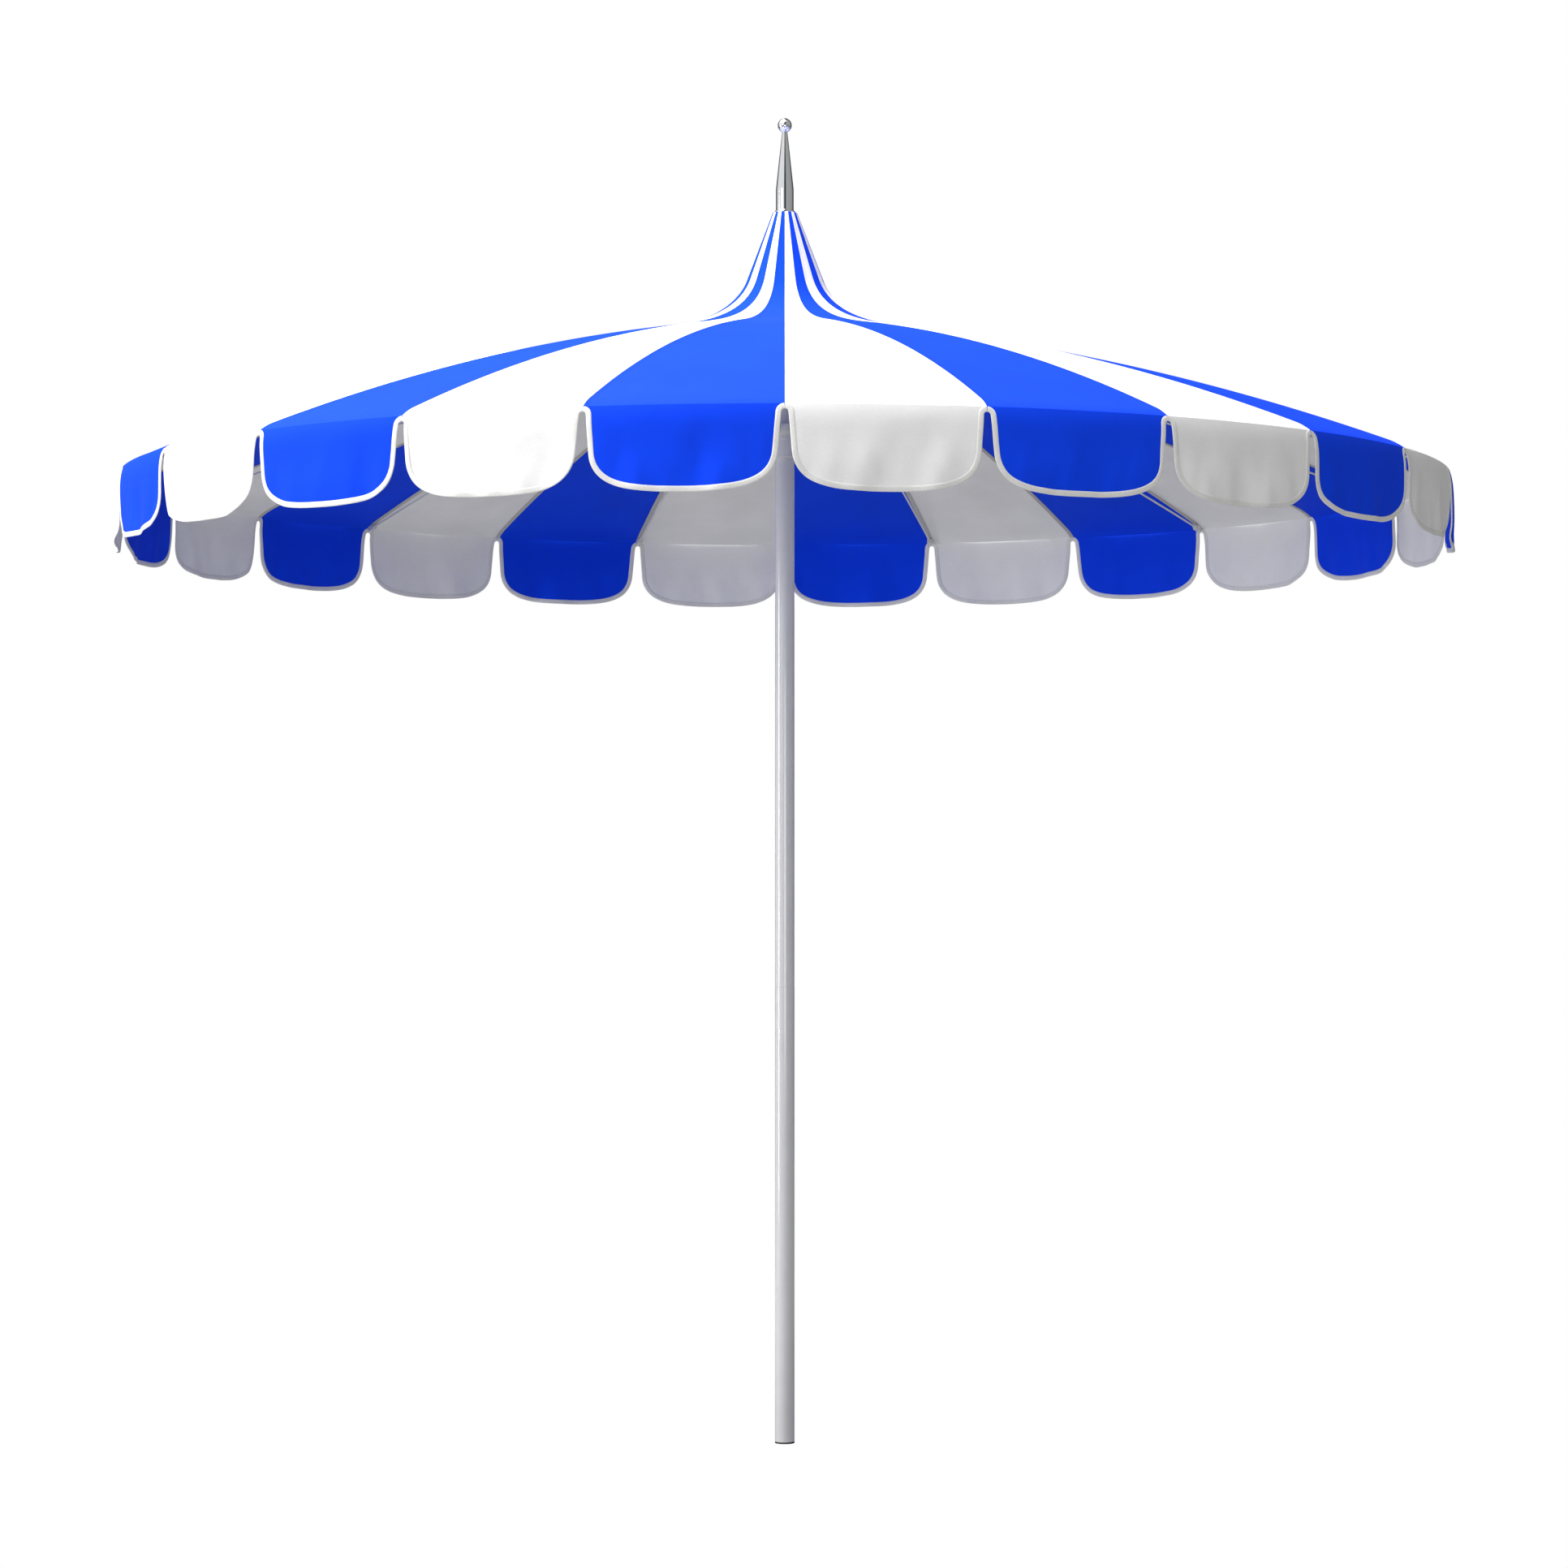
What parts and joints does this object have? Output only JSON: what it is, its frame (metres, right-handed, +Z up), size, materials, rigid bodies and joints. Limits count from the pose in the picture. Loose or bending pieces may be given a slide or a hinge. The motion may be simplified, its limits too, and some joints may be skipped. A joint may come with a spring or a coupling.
{
  "type": "beach umbrella",
  "caption": "Round beach umbrella with a pagoda neck, alternating blue and white gores, a scalloped valance, a chrome ball finial and a straight pole; the runner folds it shut.",
  "frame": {"origin": "centre of the pole's foot, on the ground end face", "axes": "+Z up the pole to the finial; -Y towards the front seam between a white gore on the right and a blue gore on the left"},
  "size_m": [2.58, 2.58, 2.5898],
  "materials": {
    "pole_white": "gloss white powder coat",
    "sleeve_steel": "plain",
    "foot_plastic": "matt",
    "finial_chrome": "polished",
    "hub_plastic": "satin moulded",
    "knob_plastic": "matt",
    "rib_white": "satin off-white",
    "strut_white": "satin off-white",
    "canopy_blue": "woven canvas",
    "canopy_white": "woven canvas",
    "valance_white": "woven canvas with bound edge"
  },
  "bodies": {
    "pole": {"foot_plug": "foot_plastic", "lower_pole": "pole_white", "upper_pole": "pole_white", "pole_sleeve": "sleeve_steel", "finial_spire": "finial_chrome", "finial_ball": "finial_chrome", "crown_hub": "hub_plastic", "canopy_neck": "canopy_white", "canopy_collar": "hub_plastic"},
    "runner": {"runner_hub": "hub_plastic", "runner_grip": "hub_plastic"},
    "knob": {"lock_knob": "knob_plastic"},
    "rib_01": {"rib_01": "rib_white", "canopy_sector_01": "canopy_blue"},
    "strut_01": {"strut_01": "strut_white"},
    "valance_01": {"valance_01": "valance_white"},
    "rib_02": {"rib_02": "rib_white", "canopy_sector_02": "canopy_blue"},
    "strut_02": {"strut_02": "strut_white"},
    "valance_02": {"valance_02": "valance_white"},
    "rib_03": {"rib_03": "rib_white", "canopy_sector_03": "canopy_blue"},
    "strut_03": {"strut_03": "strut_white"},
    "valance_03": {"valance_03": "valance_white"},
    "rib_04": {"rib_04": "rib_white", "canopy_sector_04": "canopy_blue"},
    "strut_04": {"strut_04": "strut_white"},
    "valance_04": {"valance_04": "valance_white"},
    "rib_05": {"rib_05": "rib_white", "canopy_sector_05": "canopy_blue"},
    "strut_05": {"strut_05": "strut_white"},
    "valance_05": {"valance_05": "valance_white"},
    "rib_06": {"rib_06": "rib_white", "canopy_sector_06": "canopy_blue"},
    "strut_06": {"strut_06": "strut_white"},
    "valance_06": {"valance_06": "valance_white"},
    "rib_07": {"rib_07": "rib_white", "canopy_sector_07": "canopy_blue"},
    "strut_07": {"strut_07": "strut_white"},
    "valance_07": {"valance_07": "valance_white"},
    "rib_08": {"rib_08": "rib_white", "canopy_sector_08": "canopy_blue"},
    "strut_08": {"strut_08": "strut_white"},
    "valance_08": {"valance_08": "valance_white"},
    "rib_09": {"rib_09": "rib_white", "canopy_sector_09": "canopy_blue"},
    "strut_09": {"strut_09": "strut_white"},
    "valance_09": {"valance_09": "valance_white"},
    "rib_10": {"rib_10": "rib_white", "canopy_sector_10": "canopy_blue"},
    "strut_10": {"strut_10": "strut_white"},
    "valance_10": {"valance_10": "valance_white"},
    "rib_11": {"rib_11": "rib_white", "canopy_sector_11": "canopy_blue"},
    "strut_11": {"strut_11": "strut_white"},
    "valance_11": {"valance_11": "valance_white"},
    "rib_12": {"rib_12": "rib_white", "canopy_sector_12": "canopy_blue"},
    "strut_12": {"strut_12": "strut_white"},
    "valance_12": {"valance_12": "valance_white"}
  },
  "joints": [
    {"name": "runner_slide", "type": "slide", "parent": "pole", "child": "runner", "axis": [0, 0, -1], "range_m": [0, 0.6894]},
    {"name": "knob_turn", "type": "hinge", "parent": "runner", "child": "knob", "pos_m": [0.052, 0, 1.9444], "axis": [1, 0, 0], "range_deg": [-180, 180]},
    {"name": "rib_fold_01", "type": "hinge", "parent": "pole", "child": "rib_01", "pos_m": [0.00983, -0.03671, 2.19], "axis": [0.9659, 0.2588, 0], "range_deg": [0, 74.6], "deforming": ["canopy_sector_01"]},
    {"name": "strut_fold_01", "type": "hinge", "parent": "rib_01", "child": "strut_01", "pos_m": [0.12309, -0.45936, 2.08495], "axis": [0.9659, 0.2588, 0], "range_deg": [-149.2, 0]},
    {"name": "valance_hang_01", "type": "hinge", "parent": "rib_01", "child": "valance_01", "pos_m": [0.33258, -1.24121, 1.8755], "axis": [0.9659, 0.2588, 0], "range_deg": [-74.6, 0], "deforming": ["valance_01"]},
    {"name": "rib_fold_02", "type": "hinge", "parent": "pole", "child": "rib_02", "pos_m": [0.02687, -0.02687, 2.19], "axis": [0.7071, 0.7071, 0], "range_deg": [0, 74.6], "deforming": ["canopy_sector_02"]},
    {"name": "strut_fold_02", "type": "hinge", "parent": "rib_02", "child": "strut_02", "pos_m": [0.33628, -0.33628, 2.08495], "axis": [0.7071, 0.7071, 0], "range_deg": [-149.2, 0]},
    {"name": "valance_hang_02", "type": "hinge", "parent": "rib_02", "child": "valance_02", "pos_m": [0.90863, -0.90863, 1.8755], "axis": [0.7071, 0.7071, 0], "range_deg": [-74.6, 0], "deforming": ["valance_02"]},
    {"name": "rib_fold_03", "type": "hinge", "parent": "pole", "child": "rib_03", "pos_m": [0.03671, -0.00983, 2.19], "axis": [0.2588, 0.9659, 0], "range_deg": [0, 74.6], "deforming": ["canopy_sector_03"]},
    {"name": "strut_fold_03", "type": "hinge", "parent": "rib_03", "child": "strut_03", "pos_m": [0.45936, -0.12309, 2.08495], "axis": [0.2588, 0.9659, 0], "range_deg": [-149.2, 0]},
    {"name": "valance_hang_03", "type": "hinge", "parent": "rib_03", "child": "valance_03", "pos_m": [1.24121, -0.33258, 1.8755], "axis": [0.2588, 0.9659, 0], "range_deg": [-74.6, 0], "deforming": ["valance_03"]},
    {"name": "rib_fold_04", "type": "hinge", "parent": "pole", "child": "rib_04", "pos_m": [0.03671, 0.00983, 2.19], "axis": [-0.2588, 0.9659, 0], "range_deg": [0, 74.6], "deforming": ["canopy_sector_04"]},
    {"name": "strut_fold_04", "type": "hinge", "parent": "rib_04", "child": "strut_04", "pos_m": [0.45936, 0.12309, 2.08495], "axis": [-0.2588, 0.9659, 0], "range_deg": [-149.2, 0]},
    {"name": "valance_hang_04", "type": "hinge", "parent": "rib_04", "child": "valance_04", "pos_m": [1.24121, 0.33258, 1.8755], "axis": [-0.2588, 0.9659, 0], "range_deg": [-74.6, 0], "deforming": ["valance_04"]},
    {"name": "rib_fold_05", "type": "hinge", "parent": "pole", "child": "rib_05", "pos_m": [0.02687, 0.02687, 2.19], "axis": [-0.7071, 0.7071, 0], "range_deg": [0, 74.6], "deforming": ["canopy_sector_05"]},
    {"name": "strut_fold_05", "type": "hinge", "parent": "rib_05", "child": "strut_05", "pos_m": [0.33628, 0.33628, 2.08495], "axis": [-0.7071, 0.7071, 0], "range_deg": [-149.2, 0]},
    {"name": "valance_hang_05", "type": "hinge", "parent": "rib_05", "child": "valance_05", "pos_m": [0.90863, 0.90863, 1.8755], "axis": [-0.7071, 0.7071, 0], "range_deg": [-74.6, 0], "deforming": ["valance_05"]},
    {"name": "rib_fold_06", "type": "hinge", "parent": "pole", "child": "rib_06", "pos_m": [0.00983, 0.03671, 2.19], "axis": [-0.9659, 0.2588, 0], "range_deg": [0, 74.6], "deforming": ["canopy_sector_06"]},
    {"name": "strut_fold_06", "type": "hinge", "parent": "rib_06", "child": "strut_06", "pos_m": [0.12309, 0.45936, 2.08495], "axis": [-0.9659, 0.2588, 0], "range_deg": [-149.2, 0]},
    {"name": "valance_hang_06", "type": "hinge", "parent": "rib_06", "child": "valance_06", "pos_m": [0.33258, 1.24121, 1.8755], "axis": [-0.9659, 0.2588, 0], "range_deg": [-74.6, 0], "deforming": ["valance_06"]},
    {"name": "rib_fold_07", "type": "hinge", "parent": "pole", "child": "rib_07", "pos_m": [-0.00983, 0.03671, 2.19], "axis": [-0.9659, -0.2588, 0], "range_deg": [0, 74.6], "deforming": ["canopy_sector_07"]},
    {"name": "strut_fold_07", "type": "hinge", "parent": "rib_07", "child": "strut_07", "pos_m": [-0.12309, 0.45936, 2.08495], "axis": [-0.9659, -0.2588, 0], "range_deg": [-149.2, 0]},
    {"name": "valance_hang_07", "type": "hinge", "parent": "rib_07", "child": "valance_07", "pos_m": [-0.33258, 1.24121, 1.8755], "axis": [-0.9659, -0.2588, 0], "range_deg": [-74.6, 0], "deforming": ["valance_07"]},
    {"name": "rib_fold_08", "type": "hinge", "parent": "pole", "child": "rib_08", "pos_m": [-0.02687, 0.02687, 2.19], "axis": [-0.7071, -0.7071, 0], "range_deg": [0, 74.6], "deforming": ["canopy_sector_08"]},
    {"name": "strut_fold_08", "type": "hinge", "parent": "rib_08", "child": "strut_08", "pos_m": [-0.33628, 0.33628, 2.08495], "axis": [-0.7071, -0.7071, 0], "range_deg": [-149.2, 0]},
    {"name": "valance_hang_08", "type": "hinge", "parent": "rib_08", "child": "valance_08", "pos_m": [-0.90863, 0.90863, 1.8755], "axis": [-0.7071, -0.7071, 0], "range_deg": [-74.6, 0], "deforming": ["valance_08"]},
    {"name": "rib_fold_09", "type": "hinge", "parent": "pole", "child": "rib_09", "pos_m": [-0.03671, 0.00983, 2.19], "axis": [-0.2588, -0.9659, 0], "range_deg": [0, 74.6], "deforming": ["canopy_sector_09"]},
    {"name": "strut_fold_09", "type": "hinge", "parent": "rib_09", "child": "strut_09", "pos_m": [-0.45936, 0.12309, 2.08495], "axis": [-0.2588, -0.9659, 0], "range_deg": [-149.2, 0]},
    {"name": "valance_hang_09", "type": "hinge", "parent": "rib_09", "child": "valance_09", "pos_m": [-1.24121, 0.33258, 1.8755], "axis": [-0.2588, -0.9659, 0], "range_deg": [-74.6, 0], "deforming": ["valance_09"]},
    {"name": "rib_fold_10", "type": "hinge", "parent": "pole", "child": "rib_10", "pos_m": [-0.03671, -0.00983, 2.19], "axis": [0.2588, -0.9659, 0], "range_deg": [0, 74.6], "deforming": ["canopy_sector_10"]},
    {"name": "strut_fold_10", "type": "hinge", "parent": "rib_10", "child": "strut_10", "pos_m": [-0.45936, -0.12309, 2.08495], "axis": [0.2588, -0.9659, 0], "range_deg": [-149.2, 0]},
    {"name": "valance_hang_10", "type": "hinge", "parent": "rib_10", "child": "valance_10", "pos_m": [-1.24121, -0.33258, 1.8755], "axis": [0.2588, -0.9659, 0], "range_deg": [-74.6, 0], "deforming": ["valance_10"]},
    {"name": "rib_fold_11", "type": "hinge", "parent": "pole", "child": "rib_11", "pos_m": [-0.02687, -0.02687, 2.19], "axis": [0.7071, -0.7071, 0], "range_deg": [0, 74.6], "deforming": ["canopy_sector_11"]},
    {"name": "strut_fold_11", "type": "hinge", "parent": "rib_11", "child": "strut_11", "pos_m": [-0.33628, -0.33628, 2.08495], "axis": [0.7071, -0.7071, 0], "range_deg": [-149.2, 0]},
    {"name": "valance_hang_11", "type": "hinge", "parent": "rib_11", "child": "valance_11", "pos_m": [-0.90863, -0.90863, 1.8755], "axis": [0.7071, -0.7071, 0], "range_deg": [-74.6, 0], "deforming": ["valance_11"]},
    {"name": "rib_fold_12", "type": "hinge", "parent": "pole", "child": "rib_12", "pos_m": [-0.00983, -0.03671, 2.19], "axis": [0.9659, -0.2588, 0], "range_deg": [0, 74.6], "deforming": ["canopy_sector_12"]},
    {"name": "strut_fold_12", "type": "hinge", "parent": "rib_12", "child": "strut_12", "pos_m": [-0.12309, -0.45936, 2.08495], "axis": [0.9659, -0.2588, 0], "range_deg": [-149.2, 0]},
    {"name": "valance_hang_12", "type": "hinge", "parent": "rib_12", "child": "valance_12", "pos_m": [-0.33258, -1.24121, 1.8755], "axis": [0.9659, -0.2588, 0], "range_deg": [-74.6, 0], "deforming": ["valance_12"]}
  ],
  "couplings": [
    {"joint": "rib_fold_01", "follows": "runner_slide", "rad_per_m": 1.8861},
    {"joint": "strut_fold_01", "follows": "runner_slide", "rad_per_m": -3.7722},
    {"joint": "valance_hang_01", "follows": "runner_slide", "rad_per_m": -1.8861},
    {"joint": "rib_fold_02", "follows": "runner_slide", "rad_per_m": 1.8861},
    {"joint": "strut_fold_02", "follows": "runner_slide", "rad_per_m": -3.7722},
    {"joint": "valance_hang_02", "follows": "runner_slide", "rad_per_m": -1.8861},
    {"joint": "rib_fold_03", "follows": "runner_slide", "rad_per_m": 1.8861},
    {"joint": "strut_fold_03", "follows": "runner_slide", "rad_per_m": -3.7722},
    {"joint": "valance_hang_03", "follows": "runner_slide", "rad_per_m": -1.8861},
    {"joint": "rib_fold_04", "follows": "runner_slide", "rad_per_m": 1.8861},
    {"joint": "strut_fold_04", "follows": "runner_slide", "rad_per_m": -3.7722},
    {"joint": "valance_hang_04", "follows": "runner_slide", "rad_per_m": -1.8861},
    {"joint": "rib_fold_05", "follows": "runner_slide", "rad_per_m": 1.8861},
    {"joint": "strut_fold_05", "follows": "runner_slide", "rad_per_m": -3.7722},
    {"joint": "valance_hang_05", "follows": "runner_slide", "rad_per_m": -1.8861},
    {"joint": "rib_fold_06", "follows": "runner_slide", "rad_per_m": 1.8861},
    {"joint": "strut_fold_06", "follows": "runner_slide", "rad_per_m": -3.7722},
    {"joint": "valance_hang_06", "follows": "runner_slide", "rad_per_m": -1.8861},
    {"joint": "rib_fold_07", "follows": "runner_slide", "rad_per_m": 1.8861},
    {"joint": "strut_fold_07", "follows": "runner_slide", "rad_per_m": -3.7722},
    {"joint": "valance_hang_07", "follows": "runner_slide", "rad_per_m": -1.8861},
    {"joint": "rib_fold_08", "follows": "runner_slide", "rad_per_m": 1.8861},
    {"joint": "strut_fold_08", "follows": "runner_slide", "rad_per_m": -3.7722},
    {"joint": "valance_hang_08", "follows": "runner_slide", "rad_per_m": -1.8861},
    {"joint": "rib_fold_09", "follows": "runner_slide", "rad_per_m": 1.8861},
    {"joint": "strut_fold_09", "follows": "runner_slide", "rad_per_m": -3.7722},
    {"joint": "valance_hang_09", "follows": "runner_slide", "rad_per_m": -1.8861},
    {"joint": "rib_fold_10", "follows": "runner_slide", "rad_per_m": 1.8861},
    {"joint": "strut_fold_10", "follows": "runner_slide", "rad_per_m": -3.7722},
    {"joint": "valance_hang_10", "follows": "runner_slide", "rad_per_m": -1.8861},
    {"joint": "rib_fold_11", "follows": "runner_slide", "rad_per_m": 1.8861},
    {"joint": "strut_fold_11", "follows": "runner_slide", "rad_per_m": -3.7722},
    {"joint": "valance_hang_11", "follows": "runner_slide", "rad_per_m": -1.8861},
    {"joint": "rib_fold_12", "follows": "runner_slide", "rad_per_m": 1.8861},
    {"joint": "strut_fold_12", "follows": "runner_slide", "rad_per_m": -3.7722},
    {"joint": "valance_hang_12", "follows": "runner_slide", "rad_per_m": -1.8861}
  ]
}
